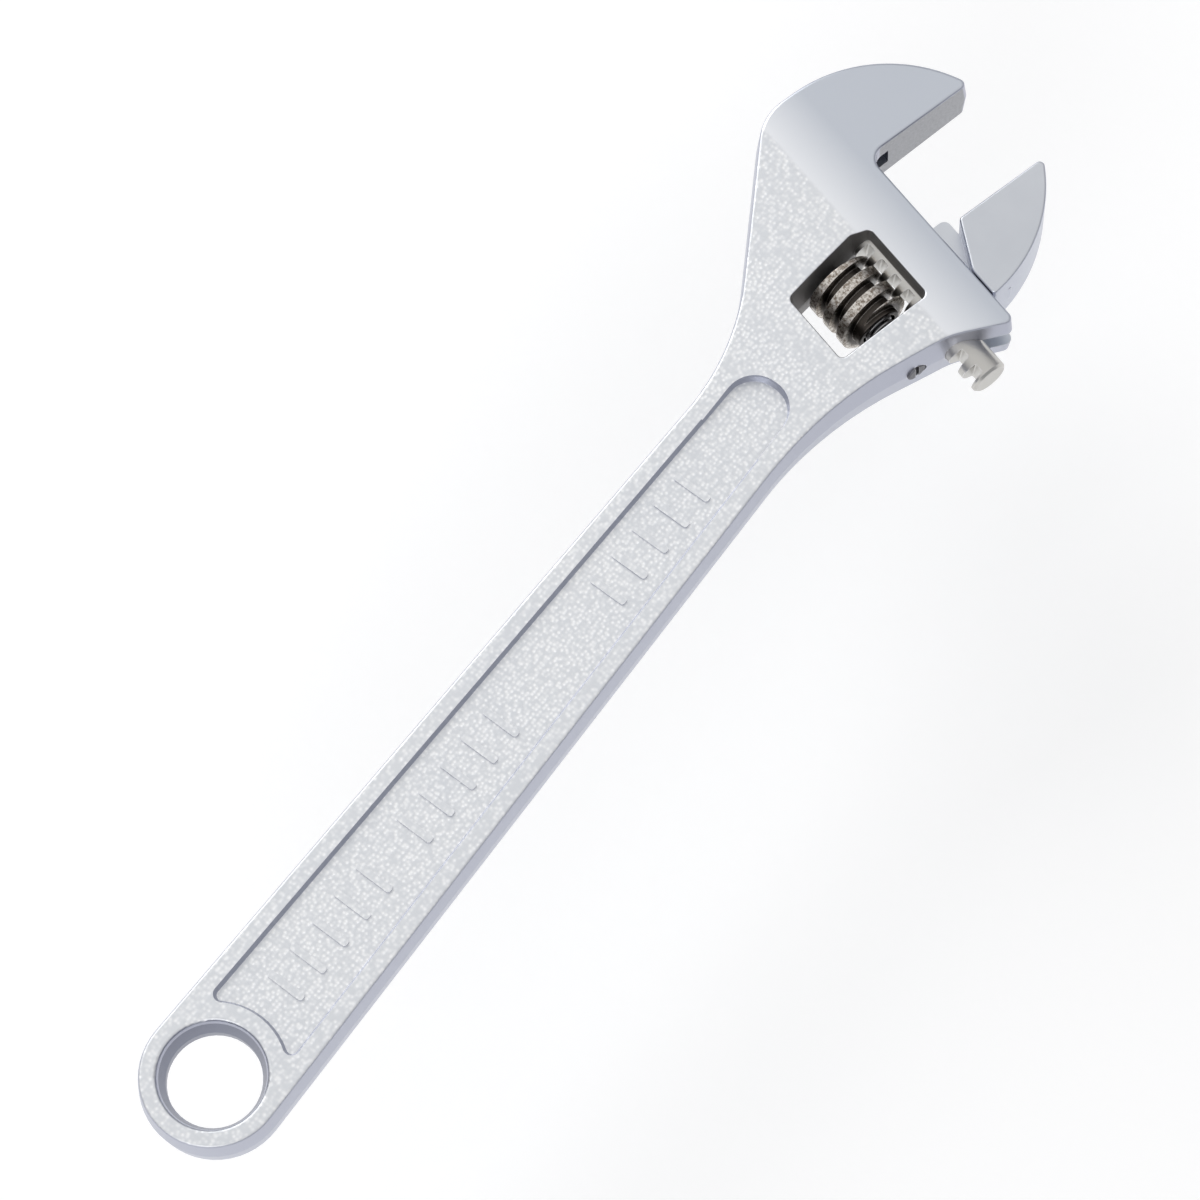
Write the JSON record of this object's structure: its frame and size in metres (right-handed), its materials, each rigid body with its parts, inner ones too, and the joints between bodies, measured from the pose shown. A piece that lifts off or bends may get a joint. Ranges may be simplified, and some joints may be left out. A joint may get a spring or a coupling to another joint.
{
  "type": "adjustable wrench",
  "caption": "Adjustable wrench with a forged handle, a fixed jaw and a sliding jaw driven by a thumb worm, for gripping nuts of many sizes.",
  "frame": {"origin": "centre of the hanging hole in the handle, on the mid-plane of the forging", "axes": "+Y along the handle towards the head, +Z out of the front face along the hanging hole, +X towards the open side of the head where the rack rod comes out"},
  "size_m": [0.0665, 0.2541, 0.0152],
  "materials": {
    "plated_forging": "satin",
    "plated_jaw": "satin",
    "worm_steel": "brushed",
    "pin_steel": "satin",
    "spring_steel": "polished"
  },
  "bodies": {
    "body": {"forged_body": "plated_forging", "worm_pin": "pin_steel", "worm_spring": "spring_steel"},
    "worm": {"worm": "worm_steel"},
    "jaw": {"movable_jaw": "plated_jaw"}
  },
  "joints": [
    {"name": "worm_spin", "type": "hinge", "parent": "body", "child": "worm", "pos_m": [0.00222, 0.19187, 0], "axis": [0.9703, -0.2419, 0], "range_deg": [-766, 1873]},
    {"name": "jaw_slide", "type": "slide", "parent": "body", "child": "jaw", "axis": [0.9703, -0.2419, 0], "range_m": [-0.0208, 0.0085]}
  ],
  "couplings": [
    {"joint": "worm_spin", "follows": "jaw_slide", "rad_per_m": -1570.8}
  ]
}
